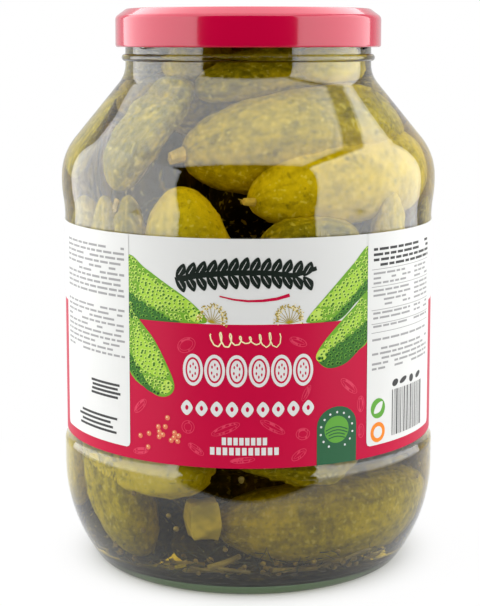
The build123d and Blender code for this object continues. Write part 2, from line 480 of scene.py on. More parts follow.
otherGherkins = [
    ((58, 8, 160), (55, 8, 76), 30, (2, 0, 0), 0.75),
    ((40, -40, 112), (44, -36, 42), 26, (0, 0, 0), 0.45),
    ((8, -56, 110), (14, -52, 52), 25, (0, 0, 0), 0.40),
    ((-60, 12, 160), (-56, 14, 74), 29, (-1, 1, 0), 0.55),
    ((-44, 40, 160), (-42, 40, 74), 29, (-1, 1, 0), 0.60),
    ((-16, 56, 160), (-16, 54, 70), 30, (0, 2, 0), 0.70),
    ((18, 54, 162), (16, 53, 78), 28, (0, 2, 0), 0.50),
    ((45, 38, 158), (44, 38, 72), 30, (1, 1, 0), 0.60),
    # these four stand deep in the middle, and their low values are painted shade
    ((-26, 10, 164), (-22, 14, 84), 31, (0, 0, 0), 0.15),
    ((16, 22, 166), (14, 18, 84), 32, (0, 0, 0), 0.15),
    ((24, -18, 140), (18, -20, 74), 30, (0, 0, 0), 0.05),
    ((-22, -18, 146), (-20, -18, 74), 28, (0, 0, 0), 0.05),
    ((28, 8, 184), (-22, 24, 176), 24, (0, 3, 0), 0.60),
    ((36, 26, 176), (-10, 40, 178), 22, (0, 3, 0), 0.60),
    ((-44, 0, 172), (-20, 36, 176), 23, (0, 0, 2), 0.45),
    ((-36, -12, 178), (-14, 4, 192), 22, (0, 0, 0), 0.40),
    ((40, -6, 176), (22, 22, 190), 22, (0, 0, 0), 0.45),
    ((-60, 8, 98), (-54, 12, 30), 30, (-2, 1, 0), 0.35),
    ((-40, 44, 100), (-38, 40, 34), 30, (-1, 2, 0), 0.60),
    ((-4, 56, 102), (-4, 52, 34), 31, (0, 3, 0), 0.50),
    ((34, 46, 98), (32, 44, 34), 30, (1, 2, 0), 0.70),
    ((58, 18, 100), (54, 20, 36), 28, (2, 1, 0), 0.35),
    ((-22, 0, 98), (-20, -4, 36), 32, (0, 0, 0), 0.30),
    ((8, 10, 98), (6, 8, 36), 32, (0, 0, 0), 0.30),
    ((30, -16, 98), (26, -14, 44), 30, (0, 0, 0), 0.30),
    ((-36, -34, 110), (-38, -32, 54), 22, (0, 0, 0), 0.40),
    # a layer lying on the bottom
    ((-58, 0, 19), (-16, 52, 19), 27, (-5, 4, 0), 0.35),
    ((-6, 56, 19), (54, 26, 19), 27, (4, 5, 0), 0.40),
    ((-46, -12, 20), (-2, 32, 20), 28, (0, 0, 0), 0.25),
    ((6, 30, 20), (40, -14, 20), 27, (0, 0, 0), 0.25),
    ((-28, -26, 20), (20, -18, 21), 27, (0, 0, 0), 0.20),
]
gherkinShape = {
    "around": 36, "along": 46, "wart": 0.5,
    # the near black olive is painted shade for the gherkins deep inside
    "unripe": (0.085, 0.073, 0.002), "ripe": (0.70, 0.53, 0.012), "paintedShadeOlive": (0.012, 0.010, 0.001),
    "paleSpeck": (0.80, 0.68, 0.14), "darkSpeck": (0.10, 0.085, 0.012),
    # how they make room: reach of a round end, rounds, nearness, strength, and slack by the wall and the top
    "roundEnd": 0.42, "rounds": 60, "nearness": 0.97, "push": 0.84, "flattened": 0.96, "underTop": 0.8,
}


def nearest(a, b, c, d):
    # nearest points of the two stretches a-b and c-d
    u, v, w = b - a, d - c, a - c
    uu, uv, vv, uw, vw = u.dot(u), u.dot(v), v.dot(v), u.dot(w), v.dot(w)
    base = uu * vv - uv * uv
    s = min(1, max(0, (uv * vw - vv * uw) / base)) if base > 1e-6 else 0.5
    t = min(1, max(0, (uv * s + vw) / vv))
    s = min(1, max(0, (uv * t - uw) / uu))
    return a + u * s, c + v * t, s, t


def pressed(one, two, nearness=1.0):
    # how deep two gherkins press into each other, which way, and how far along each of them
    p, q, s, t = nearest(one["start"], one["end"], two["start"], two["end"])
    return (one["radius"] + two["radius"]) * nearness - (p - q).length, p - q, s, t


def pushApart(one, two):
    overlap, apart, s, t = pressed(one, two, gherkinShape["nearness"])
    if overlap <= 0:
        return
    way = apart.normalized() if apart.length > 0.01 else Vector((1, 0, 0))
    for piece, other, place, side in ((one, two, s, 1), (two, one, t, -1)):
        share = 0.0 if piece["firm"] else (0.9 if other["firm"] else 0.5)
        push = way * (overlap * share * side * gherkinShape["push"])
        piece["start"] = piece["start"] + push * (1 - place)
        piece["end"] = piece["end"] + push * place


def pullIn(piece):
    # keeps both ends within the wall, above the floor and under the brine's top
    low = jar["floorHeight"] + piece["radius"]
    high = brineSizes["top"] - gherkinShape["underTop"] - piece["radius"]
    for point in (piece["start"], piece["end"]):
        point.z = min(max(point.z, low), high)
        limit = innerRadius(point.z) - piece["radius"] * gherkinShape["flattened"]
        flat = sqrt(point.x ** 2 + point.y ** 2)
        if flat > limit:
            point.x, point.y = point.x * limit / flat, point.y * limit / flat


def settled():
    # pushes the gherkins apart where they overlap, and keeps all but the firm ones within the wall
    pieces = []
    for start, end, diameter, bend, shade in shownGherkins + otherGherkins:
        start, end = Vector(start), Vector(end)
        inset = (end - start).normalized() * diameter * gherkinShape["roundEnd"]
        pieces.append({"number": len(pieces), "start": start + inset, "end": end - inset, "inset": inset,
                       "radius": diameter / 2, "bend": Vector(bend), "shade": shade,
                       "firm": len(pieces) < len(shownGherkins)})
    pairs = [(one, two) for one in pieces for two in pieces[:one["number"]]]
    for turn in range(gherkinShape["rounds"]):
        for one, two in pairs:
            if not (one["firm"] and two["firm"]):
                pushApart(one, two)
        for piece in pieces:
            if not piece["firm"]:
                pullIn(piece)
    worst = 0
    for one, two in pairs:
        overlap = pressed(one, two)[0]
        if overlap > 5:
            print("gherkins", two["number"], one["number"], "still overlap by", round(overlap, 1))
        worst = max(worst, overlap)
    print("deepest overlap", round(worst, 1))
    for piece in pieces:
        piece["start"], piece["end"] = piece["start"] - piece["inset"], piece["end"] + piece["inset"]
    return pieces


def skinPoint(gherkin, phase, blunt, along, around):
    # along runs 0 to 1 from the stalk end to the blossom end
    spine = gherkin["end"] - gherkin["start"]
    forward = spine.normalized()
    side = forward.orthogonal().normalized()
    other = forward.cross(side)
    t = along * 2 - 1
    swell = (1 - abs(t) ** blunt) ** 0.5 * (1 + 0.04 * t - 0.06 * t * t)
    # blunt ribs run from end to end
    ribs = 1 + 0.020 * cos(3 * around + phase * 5) + 0.012 * cos(5 * around + phase)
    direction = side * cos(around) + other * sin(around)
    middle = gherkin["start"] + spine * along + gherkin["bend"] * 4 * along * (1 - along)
    point = middle + direction * gherkin["radius"] * swell * ribs
    bumps = noise.noise(point * 0.15 + Vector((phase * 31, 0, 0)))
    warts = max(0.0, noise.noise(point * 0.48 + Vector((0, phase * 17, 5))) - 0.2) * 3.0
    return point + direction * (bumps * 0.9 + warts * gherkinShape["wart"]) * min(1, swell * 1.5)


def kept(point, margin=0.35):
    # inside the glass: pressed flat where it would pass through the wall or the floor
    flat = sqrt(point.x ** 2 + point.y ** 2)
    ground = jar["floorHeight"] - min(flat, jar["domeEdge"]) ** 2 / (2 * jar["floorCurve"])
    height = min(max(point.z, ground + margin), brineSizes["top"] - 0.6)
    limit = innerRadius(height) - margin
    if flat > limit:
        return Vector((point.x * limit / flat, point.y * limit / flat, height))
    return Vector((point.x, point.y, height))


def buildGherkins():
    bm = bmesh.new()
    ripenessAndShade = bm.loops.layers.float_color.new("ripenessAndShade")
    uvs = bm.loops.layers.uv.new("skin")
    around, along = gherkinShape["around"], gherkinShape["along"]
    places = [0.5 - 0.5 * cos(pi * row / along) for row in range(along + 1)]
    for gherkin in settled():
        phase = rng.uniform(0, 6)
        blunt = rng.uniform(2.7, 3.6)
        rows = []
        for row, place in enumerate(places):
            turns = [2 * pi * step / around for step in range(1 if row in (0, along) else around)]
            ring = [bm.verts.new(kept(skinPoint(gherkin, phase, blunt, place, turn)) * mm) for turn in turns]
            rows.append(ring * (around // len(ring)))
        for row in range(along):
            for step in range(around):
                spots = [(row, step), (row, step + 1), (row + 1, step + 1), (row + 1, step)]
                if row == 0:
                    spots = spots[1:]
                elif row == along - 1:
                    spots = spots[:3]
                face = bm.faces.new([rows[r][s % around] for r, s in spots])
                for loop, (r, s) in zip(face.loops, spots):
                    loop[ripenessAndShade] = (gherkin["shade"],) * 3 + (1,)
                    loop[uvs].uv = (s / around, places[r])
    bmesh.ops.recalc_face_normals(bm, faces=bm.faces)
    finishPiece(bm, "gherkinFill", [gherkinMaterial()], sharp=80)


def gherkinMaterial():
    made, tree = material("gherkinSkin")
    coords = coordinates(tree)
    shade = axis(tree, node(tree, "ShaderNodeVertexColor", {"layer_name": "ripenessAndShade"}, {}), "X")
    # soft lengthwise streaks, larger blotches and small mottling
    lengthwise = {"Vector": coordinates(tree, "UV"), "Scale": (15.0, 1.4, 1.0)}
    streaks = noiseField(tree, node(tree, "ShaderNodeMapping", {}, lengthwise), 1.6)
    patches = noiseField(tree, coords, 55.0, 3.0, 0.6)
    mottles = noiseField(tree, coords, 330.0, 3.0, 0.65)
    specks = noiseField(tree, coords, 560.0, 1.0, 0.4)
    ripe = shade * 0.8 + (streaks - 0.5) * 0.45 + (patches - 0.5) * 0.5 + (mottles - 0.5) * 0.75
    olive = mixed(tree, smoothed(tree, ripe, 0.0, 0.85), gherkinShape["unripe"], gherkinShape["ripe"])
    # painted shade: a value under 0.25 darkens the gherkin towards near black, for those deep inside the jar
    olive = mixed(tree, smoothed(tree, shade, 0.05, 0.25), gherkinShape["paintedShadeOlive"], olive)
    pale = mixed(tree, smoothed(tree, specks, 0.60, 0.72) * 0.4, olive, gherkinShape["paleSpeck"])
    dark = mixed(tree, (1 - smoothed(tree, specks, 0.27, 0.36)) * 0.4, pale, gherkinShape["darkSpeck"])
    wrinkles = noiseField(tree, coords, 260.0, 3.0, 0.6) + streaks * 0.3
    skin = principled(tree, Base_Color=dark, Roughness=0.42, IOR=1.12,
                      Normal=bumped(tree, wrinkles, 0.0006, 0.6))
    finishMaterial(tree, skin)
    return made


# the small things in the brine: seeds, dill, stalk ends and a cut root
herbs = {
    "seeds": 90, "clingingSeeds": 15, "threads": 70, "stalks": 16, "flakes": 40,
    "stemColour": (0.55, 0.40, 0.13), "seedColour": (0.31, 0.215, 0.05), "threadColour": (0.05, 0.055, 0.012),
    "stalkColour": (0.30, 0.22, 0.055), "flakeColour": (0.11, 0.08, 0.02), "rootColour": (0.60, 0.47, 0.075),
    "rootSize": (11.4, 10.0, 13.4), "rootPlace": (-15.2, -51.8, 28.3), "rootTurn": (0.1, -0.05, 0.2),
    # two stalks seen from the front, then the stalk ends: tip, way out of it, radius
    "laidStalks": (((-14, -59, 12), (-3, -60, 17), 1.3), ((8, -56, 11), (24, -50, 10), 1.0)),
    "stems": (
        ((-22.6, -46.6, 156.2), (-3.4, -1.2, -0.6), 2.3),
        ((1.0, -55.2, 143.6), (-2.4, -1.4, 0.2), 1.5),
        ((-45.2, -46.2, 142.0), (-1.2, -1.6, -2.4), 1.2),
    ),
}


def plainSkin(name, colour, variety, scale, rough=0.5):
    made, tree = material(name)
    mottles = noiseField(tree, coordinates(tree), scale, 2.0, 0.6)
    darker = tuple(channel * (1 - variety) for channel in colour)
    lighter = tuple(min(1, channel * (1 + variety)) for channel in colour)
    mix = mixed(tree, smoothed(tree, mottles, 0.3, 0.7), darker, lighter)
    finishMaterial(tree, principled(tree, Base_Color=mix, Roughness=rough, IOR=1.4,
                                    Normal=bumped(tree, mottles, 0.0003, 0.5)))
    return made


def tube(bm, points, radius, sides, tipRadius):
    # a round string through the points, closed at both ends
    angles = [2 * pi * k / sides for k in range(sides)]
    rings = []
    for index, point in enumerate(points):
        ahead = points[min(index + 1, len(points) - 1)] - points[max(index - 1, 0)]
        ahead.normalize()
        side = ahead.orthogonal().normalized()
        other = ahead.cross(side)
        size = radius + (tipRadius - radius) * index / (len(points) - 1)
        rings.append([bm.verts.new((point + (side * cos(a) + other * sin(a)) * size) * mm) for a in angles])
    for first, second in zip(rings, rings[1:]):
        # rings turn little from one to the next, so each corner joins its nearest one
        shift = min(range(sides), key=lambda k: (second[k].co - first[0].co).length)
        for k in range(sides):
            after = (k + 1) % sides
            matching = [second[(corner + shift) % sides] for corner in (after, k)]
            bm.faces.new([first[k], first[after], *matching])
    bm.faces.new(rings[0])
    bm.faces.new(rings[-1][::-1])


def scatter(spreadX, spreadY, spreadZ):
    return Vector((rng.gauss(0, spreadX), rng.gauss(0, spreadY), rng.gauss(0, spreadZ)))


def bottomSpot(low, high, near):
    # a place by the floor of the jar, more often near the front wall
    angle = rng.gauss(-pi / 2, 0.75) if rng.random() < 0.75 else rng.uniform(0, 2 * pi)
    height = rng.uniform(low, high)
    reach = (innerRadius(height) - 1.6) * rng.uniform(near, 1.0)
    return Vector((reach * cos(angle), reach * sin(angle), height))


def buildSeeds():
    bm = bmesh.new()
    for number in range(herbs["seeds"]):
        clinging = number < herbs["clingingSeeds"]
        spot = bottomSpot(16, 48, 0.985) if clinging else bottomSpot(8.6, 14.5, 0.72)
        size = rng.uniform(0.85, 1.15)
        place = Matrix.Translation(kept(spot, 1.3) * mm)
        squeeze = Matrix.Diagonal((1, rng.uniform(0.86, 1), rng.uniform(0.86, 1), 1))
        bmesh.ops.create_icosphere(bm, subdivisions=2, radius=size * mm, matrix=place @ squeeze)
    finishPiece(bm, "mustardSeeds", [plainSkin("seedCoat", herbs["seedColour"], 0.35, 300.0, 0.35)])


def buildThreads():
    bm = bmesh.new()
    for number in range(herbs["threads"]):
        spot = bottomSpot(8.6, 18.0, 0.86)
        heading = Vector((rng.uniform(-1, 1), rng.uniform(-0.6, 0.6), rng.uniform(-0.35, 0.5))).normalized()
        points = [kept(spot, 0.9)]
        for step in range(7):
            heading = (heading + scatter(0.28, 0.28, 0.22)).normalized()
            spot = kept(spot + heading * 1.5, 0.9)
            moved = (spot - points[-1]).length > 0.3
            points.append(spot if moved else points[-1] + heading * 0.5)
        tube(bm, points, rng.uniform(0.16, 0.30), 5, 0.1)
    finishPiece(bm, "dillThreads", [plainSkin("dillGreen", herbs["threadColour"], 0.5, 120.0)])


def buildStalks():
    bm = bmesh.new()
    laid = [(Vector(start), Vector(end), radius) for start, end, radius in herbs["laidStalks"]]
    for number in range(herbs["stalks"]):
        spot = bottomSpot(9.0, 13.0, 0.80)
        along = Vector((-spot.y, spot.x, 0)).normalized() * rng.choice((-1, 1))
        aside = Vector((rng.gauss(0, 0.35), rng.gauss(0, 0.35), rng.uniform(-0.05, 0.25)))
        heading = (along + aside).normalized()
        laid.append((spot, spot + heading * rng.uniform(6, 17), rng.uniform(0.45, 1.2)))
    for start, end, radius in laid:
        bow = scatter(0.7, 0.7, 0.5)
        points = [start.lerp(end, t) + bow * 4 * t * (1 - t) for t in (step / 6 for step in range(7))]
        tube(bm, [kept(point, radius + 0.4) for point in points], radius, 8, radius * 0.75)
    count = len(bm.faces)
    # stalk ends on the gherkins that show theirs, in a paler skin
    for tip, away, radius in herbs["stems"]:
        tip, away = Vector(tip), Vector(away)
        points = [tip + away * t for t in (-0.4, 0, 0.55, 1)]
        tube(bm, [kept(point, 0.5) for point in points], radius, 9, radius * 0.8)
        for strand in range(4):
            points = [tip + away * 0.8, tip + away * 1.15 + scatter(1, 1, 1) * 0.7]
            tube(bm, [kept(point, 0.5) for point in points], 0.35, 5, 0.12)
    bm.faces.ensure_lookup_table()
    for face in bm.faces[count:]:
        face.material_index = 1
    finishPiece(bm, "dillStalks", [plainSkin("stalkSkin", herbs["stalkColour"], 0.4, 90.0),
                                   plainSkin("stemSkin", herbs["stemColour"], 0.3, 200.0)])


def buildFlakes():
    # bits of dill head and skin lying on the bottom
    bm = bmesh.new()
    for number in range(herbs["flakes"]):
        place = Matrix.Translation(kept(bottomSpot(8.4, 13.0, 0.74), 1.8) * mm)
        turn = Euler((rng.uniform(-0.7, 0.7), rng.uniform(-0.7, 0.7), rng.uniform(0, 6.3)))
        size = Matrix.Diagonal((rng.uniform(1.2, 3.4), rng.uniform(0.7, 1.6), rng.uniform(0.25, 0.5), 1))
        bmesh.ops.create_icosphere(bm, subdivisions=2, radius=1 * mm,
                                   matrix=place @ turn.to_matrix().to_4x4() @ size)
    for vert in bm.verts:
        vert.co = kept(vert.co / mm, 0.6) * mm
    finishPiece(bm, "herbFlakes", [plainSkin("flakeSkin", herbs["flakeColour"], 0.6, 160.0)])


def buildRoot():
    # one cut length of peeled root beside the big gherkin
    bm = bmesh.new()
    bmesh.ops.create_cube(bm, size=1.0)
    bmesh.ops.subdivide_edges(bm, edges=bm.edges[:], cuts=5, use_grid_fill=True)
    bmesh.ops.scale(bm, vec=herbs["rootSize"], verts=bm.verts)
    half = Vector(herbs["rootSize"]) / 2
    turn = Euler(herbs["rootTurn"]).to_matrix()
    for vert in bm.verts:
        reach = max(abs(vert.co.x) / half.x, abs(vert.co.y) / half.y)
        pull = 1 - 0.22 * reach * (abs(vert.co.z) / half.z) ** 2
        rounded = Vector((vert.co.x * pull, vert.co.y * pull, vert.co.z))
        rounded += Vector((1, 1, 1)) * noise.noise(rounded * 0.25) * 0.9
        vert.co = kept(turn @ rounded + Vector(herbs["rootPlace"]), 0.5) * mm
    bmesh.ops.smooth_vert(bm, verts=bm.verts, factor=0.4, use_axis_x=True, use_axis_y=True, use_axis_z=True)
    bmesh.ops.recalc_face_normals(bm, faces=bm.faces)
    finishPiece(bm, "cutRoot", [plainSkin("rootFlesh", herbs["rootColour"], 0.35, 130.0)], sharp=60)


# the label is a sleeve with 1 mm of bare glass above and below it, and its print thin shapes laid on it
labelSizes = {
    "bottom": panelBottom + 1.0, "top": panelTop - 1.0, "inner": panelRadius, "thickness": 0.2,
    "colourLine": 101.8, "strip": 3.0, "lift": 0.02, "layer": 0.018, "paper": (0.635, 0.64, 0.625),
    "finish": {"Roughness": 0.38, "IOR": 1.22},
}
inks = {
    "white": (0.65, 0.655, 0.64), "crimson": (0.47, 0.002, 0.040), "deepGreen": (0.008, 0.050, 0.010),
    "midGreen": (0.10, 0.27, 0.03), "sunGreen": (0.34, 0.56, 0.05), "brightGreen": (0.145, 0.34, 0.025),
    "paleGreen": (0.46, 0.64, 0.12), "badgeGreen": (0.027, 0.11, 0.05), "leafGreen": (0.11, 0.33, 0.045),
    "dill": (0.36, 0.27, 0.026), "cream": (0.82, 0.72, 0.42), "grey": (0.30, 0.30, 0.30),
    "darkGrey": (0.05, 0.05, 0.05), "seed": (0.66, 0.17, 0.09), "shadeGreen": (0.035, 0.14, 0.022),
    "wartGreen": (0.055, 0.17, 0.015), "tipGreen": (0.44, 0.62, 0.07), "garland": (0.010, 0.016, 0.012),
    "lightCrimson": (0.62, 0.045, 0.10), "orange": (0.75, 0.22, 0.02),
}
labelArt = []    # (ink, layer, corner points in mm: s round the label from the front, height z)


def printed(ink, layer, points):
    labelArt.append((ink, layer, points))


def curved(points, parts=5):
    # a smooth closed loop through the points
    loop = []
    count = len(points)
    for index in range(count):
        a, b, c, d = [Vector(points[(index + shift) % count]) for shift in (-1, 0, 1, 2)]
        for step in range(parts):
            t = step / parts
            loop.append(tuple(0.5 * ((2 * b) + (c - a) * t + (2 * a - 5 * b + 4 * c - d) * t * t
                                     + (3 * b - a - 3 * c + d) * t ** 3)))
    return loop


def disc(ink, layer, s, z, radius, tall=None, turn=0.0, parts=16):
    tall = tall or radius
    points = []
    for step in range(parts):
        angle = 2 * pi * step / parts
        x, y = radius * cos(angle), tall * sin(angle)
        points.append((s + x * cos(turn) - y * sin(turn), z + x * sin(turn) + y * cos(turn)))
    printed(ink, layer, points)


def bar(ink, layer, left, right, bottom, top):
    printed(ink, layer, [(left, bottom), (right, bottom), (right, top), (left, top)])


def stroke(ink, layer, points, wide, narrow=None):
    # a line of the given width through the points, tapering to the narrow end
    narrow = wide if narrow is None else narrow
    for index, (first, second) in enumerate(zip(points, points[1:])):
        a, b = Vector(first), Vector(second)
        across = Vector((-(b - a).y, (b - a).x)).normalized()
        w1 = wide + (narrow - wide) * index / (len(points) - 1)
        w2 = wide + (narrow - wide) * (index + 1) / (len(points) - 1)
        printed(ink, layer, [tuple(a - across * w1 / 2), tuple(b - across * w2 / 2),
                             tuple(b + across * w2 / 2), tuple(a + across * w1 / 2)])


def greeked(left, right, top, bottom, pitch, thick, ink="grey", gap=0.12):
    # rows of short bars standing for lines of small print
    z = top
    while z - thick > bottom:
        s = left
        while s < right - 1.5:
            size = min(rng.uniform(2.0, 6.5), right - s)
            if rng.random() > gap:
                bar(ink, 7, s, s + size, z - thick, z)
            s += size + 0.8
        z -= pitch


def umbel(s, z, spread, lean):
    # a dill head: rays from one point, each ending in a loose tuft
    for step in range(11):
        angle = radians(lean + (step - 5) * 15.5)
        reach = spread * (0.86 + 0.14 * cos((step - 5) * 0.6))
        tip = (s + reach * sin(angle), z + reach * cos(angle) * 0.92)
        stroke("dill", 4, [(s, z), ((s + tip[0]) / 2 + 0.2, (z + tip[1]) / 2), tip], 0.26, 0.16)
        for dot in range(11):
            turn, far = rng.uniform(0, 2 * pi), rng.uniform(0.2, 1.35)
            disc("dill" if dot % 3 else "cream", 5, tip[0] + far * cos(turn), tip[1] + far * sin(turn),
                 rng.uniform(0.2, 0.34), parts=7)


def within(s, z, loop):
    inside = False
    for (s1, z1), (s2, z2) in zip(loop, loop[1:] + loop[:1]):
        if (z1 > z) != (z2 > z) and s < (s2 - s1) * (z - z1) / (z2 - z1) + s1:
            inside = not inside
    return inside


def cucumber(points, shade, tip, lowest=0.0):
    # printed in a light and a shaded green, with a paler tip and warts all over
    body, dark = ([(s, max(z, lowest)) for s, z in curved(loop)] for loop in (points, shade))
    printed("brightGreen", 1, body)
    printed("shadeGreen", 2, dark)
    # a broad sheen along the lit side
    lit = [(s, z) for s, z in body if not within(s, z, dark)]
    middleS, middleZ = sum(s for s, z in lit) / len(lit), sum(z for s, z in lit) / len(lit)
    sheen = [(middleS + (s - middleS) * 0.66, middleZ + 0.6 + (z - middleZ) * 0.5) for s, z in body]
    printed("sunGreen", 2, [(s, z) for s, z in sheen if not within(s, z, dark)])
    for ink, scale in (("tipGreen", 1.0), ("paleGreen", 0.6)):
        disc(ink, 3, tip[0], tip[1], 2.6 * scale, 2.0 * scale, turn=tip[2], parts=18)
    left, right = min(s for s, z in body), max(s for s, z in body)
    row, top = min(z for s, z in body), max(z for s, z in body)
    while row < top:
        s = left + rng.uniform(0, 1)
        while s < right:
            x, y = s + rng.uniform(-0.45, 0.45), row + rng.uniform(-0.4, 0.4)
            size = rng.uniform(0.32, 0.60)
            if all(within(x + dx, y + dy, body) for dx, dy in ((-0.8, 0), (0.8, 0), (0, 0.8), (0, -0.8))):
                shaded = within(x, y, dark)
                disc("midGreen" if shaded else "paleGreen", 4, x, y, size + 0.22, size + 0.16, parts=9)
                disc("deepGreen" if shaded else "wartGreen", 5, x + 0.14, y - 0.12, size, size * 0.72, 0.6, 8)
            s += rng.uniform(1.5, 1.95)
        row += 1.35


def drawCucumbers():
    # left and right of the middle, cut off by the side panels
    cucumber([(-46, 123.6), (-38, 120.2), (-30.6, 115.9), (-21.8, 110.5), (-16.2, 105.6), (-14.5, 102.6),
              (-18, 101.8), (-30, 101.8), (-46, 101.8)],
             [(-46, 110.9), (-38, 107.6), (-29.4, 103.4), (-24, 101.9), (-34, 101.8), (-46, 101.8)],
             (-18.6, 104.4, -0.6), labelSizes["colourLine"])
    cucumber([(-46, 108.4), (-40.5, 101.4), (-34.8, 95.4), (-30, 87.5), (-26.8, 80.4), (-27.4, 76.6),
              (-31, 74.8), (-36, 76.2), (-46, 84)],
             [(-46, 89.6), (-41, 84.2), (-37.6, 79.4), (-33, 75.8), (-38, 76.9), (-46, 84)],
             (-29.6, 78.6, 1.0))
    cucumber([(46, 127.4), (38.6, 121.4), (32.6, 115.8), (26, 109.2), (20.8, 103.4), (22, 101.8),
              (32.6, 101.9), (40, 107.6), (46, 112.9)],
             [(46, 116.4), (38, 109.4), (31, 103.2), (27, 101.8), (32.6, 101.9), (40, 107.6), (46, 112.9)],
             (24.4, 104.6, 0.7), labelSizes["colourLine"])
    cucumber([(24.2, 89.9), (26.5, 86.4), (30, 85.2), (35.6, 86.3), (41, 90.2), (46, 94.8), (46, 110.8),
              (39, 106), (32.8, 100.6), (27, 94.6)],
             [(24.8, 88.9), (30.2, 92.4), (38, 96.4), (46, 101.0), (46, 94.8), (41, 90.2), (35.6, 86.3),
              (29, 85.3)],
             (26.4, 90.2, 0.8))


def drawSidePanels(low, high):
    # white, with rounded lower corners
    foot = low + 4.0
    for side in (-1, 1):
        near, far, corner = 45.3 * side, 91.0 * side, 1.6 * side
        printed("white", 6, [(near, high), (far, high), (far, foot + 1.6), (far - corner * 0.3, foot + 0.5),
                             (far - corner, foot), (near + corner, foot),
                             (near + corner * 0.3, foot + 0.5), (near, foot + 1.6)])


def drawGarland():
    # two dill heads above the colour line, and a dark garland of leaves at the top
    umbel(-13.0, 102.2, 6.4, 14)
    umbel(14.3, 102.0, 6.6, -2)
    upper = [(-26, 116.6), (-18, 118.8), (-6, 120.0), (6, 120.0), (16, 118.8), (24.2, 121.0)]
    stroke("garland", 3, upper, 2.2, 1.5)
    lower = [(-10, 111.7), (-5, 110.6), (0, 110.1), (5, 110.2), (10, 110.8), (14.4, 112.0)]
    stroke("crimson", 3, lower, 0.5, 1.2)
    for step in range(13):
        s = -25.6 + step * 3.75
        middle = 117.4 + 2.5 * cos((s + 0.5) / 17)
        for up in (-1, 1):
            tall = (5.0 - 0.08 * abs(step - 6)) * up
            printed("garland", 4, curved([(s, middle), (s + 0.3, middle + tall * 0.66),
                                          (s + 2.9, middle + tall * 1.12), (s + 3.5, middle + tall * 0.40)]))
            stroke("white", 5, [(s + 0.9, middle + up * 1.1), (s + 2.5, middle + tall * 0.80)], 0.2, 0.1)


def drawMiddle():
    # a thin tendril, a row of cut slices, a row of pips and two rows of tiles
    tendril = []
    for step in range(49):
        t = step / 48
        tall = 2.0 + 0.8 * sin(t * 9)
        tendril.append((-13 + 24 * t - 1.1 * sin(t * 44), 96.4 + tall * sin(t * 44 + 1.3)))
    stroke("cream", 3, tendril, 0.5, 0.36)
    for step in range(6):
        s, z = -19.6 + step * 7.8, 85.4
        disc("white", 3, s, z, 3.7, 5.7, parts=28)
        disc("crimson", 4, s, z, 2.7, 4.5, parts=24)
        disc("white", 5, s, z, 2.1, 3.8, parts=24)
        for seed in range(6):
            turn = 2 * pi * seed / 6 + 0.4
            disc("crimson", 6, s + 1.1 * cos(turn), z + 2.1 * sin(turn), 0.3, 0.6, parts=7)
    for step in range(9):
        s = -21.9 + step * 5.4
        printed("white", 3, curved([(s - 2.2, 71.6), (s, 74.5), (s + 2.2, 71.8), (s, 69.0)]))
        disc("crimson", 4, s, 71.8, 0.6, 0.9, parts=12)
    for first, pitch, wide, low, count in ((-9.3, 2.05, 1.5, 59.0, 8), (-13.5, 2.26, 1.6, 55.4, 11)):
        for step in range(count):
            bar("white", 3, first + step * pitch, first + step * pitch + wide, low, low + 2.7)


def drawBadge(low):
    # a green arch with a round field, its furrows and a ring of white dots
    arch = [(24.6, low), (40.6, low), (40.6, 64.4)]
    arch += [(32.6 + 8.0 * cos(radians(a)), 64.4 + 6.8 * sin(radians(a))) for a in range(15, 180, 15)]
    printed("badgeGreen", 4, arch + [(24.6, 64.4)])
    disc("leafGreen", 5, 32.4, 62.9, 4.9, parts=28)
    for step in range(4):
        row = [(28.0 + 1.1 * t, 58.9 + step * 1.15 + 1.5 * sin(pi * t / 8 * 0.9 + 0.2)) for t in range(9)]
        stroke("badgeGreen", 6, [(s, z) for s, z in row if (s - 32.4) ** 2 + (z - 62.9) ** 2 < 22], 0.42)
    for step in range(13):
        turn = radians(-150 + step * 25)
        disc("white", 5, 32.5 - 6.5 * sin(turn), 62.6 + 6.5 * cos(turn), 0.42, parts=8)


def drawOnCrimson():
    # mustard seeds, and faint vegetables in outline
    for s, z in ((-29.3, 67.4), (-30.2, 64.1), (-33, 63.8), (-32.6, 62), (-31.2, 61.1), (-32.7, 60.2),
                 (-36.9, 60.9), (-40.6, 59.6), (-37.3, 55.9), (-26.6, 62.2), (-25, 61.3), (-26.8, 60.5),
                 (-27.9, 59.4), (-25.4, 59.3)):
        disc("seed", 3, s, z, 0.95, parts=12)
        disc("cream", 4, s - 0.25, z + 0.25, 0.26, parts=8)
    rings = ((0.0, "lightCrimson"), (0.22, "crimson"), (0.9, "lightCrimson"), (1.08, "crimson"))
    for s, z, wide, tall, turn in (
            (-8, 64.6, 5.5, 1.6, 0.4), (8.5, 65.4, 5.0, 1.5, -0.5), (20.6, 77, 3.2, 1.1, 1.1),
            (-21.5, 64.8, 2.4, 2.4, 0), (19.4, 62.4, 2.6, 2.2, 0), (-40.6, 70.4, 3.6, 1.5, 0.8),
            (37.4, 78, 4.4, 1.6, -0.7), (-2, 53.6, 4.4, 1.1, 0.1), (-22, 94, 3.6, 2.6, 0.5),
            (17.6, 95.4, 3.4, 1.5, -0.4), (-40.6, 54.0, 3.4, 1.3, 0.2), (18, 55, 3.2, 1.5, 0.6),
            (-18.6, 57, 3.4, 1.3, -0.6), (42.6, 70.8, 1.6, 3.0, 0), (42.8, 61, 1.5, 2.6, 0)):
        for shrink, ink in rings:
            disc(ink, 1 + int(shrink * 1.9), s, z, wide - shrink, tall - shrink, turn=turn, parts=22)


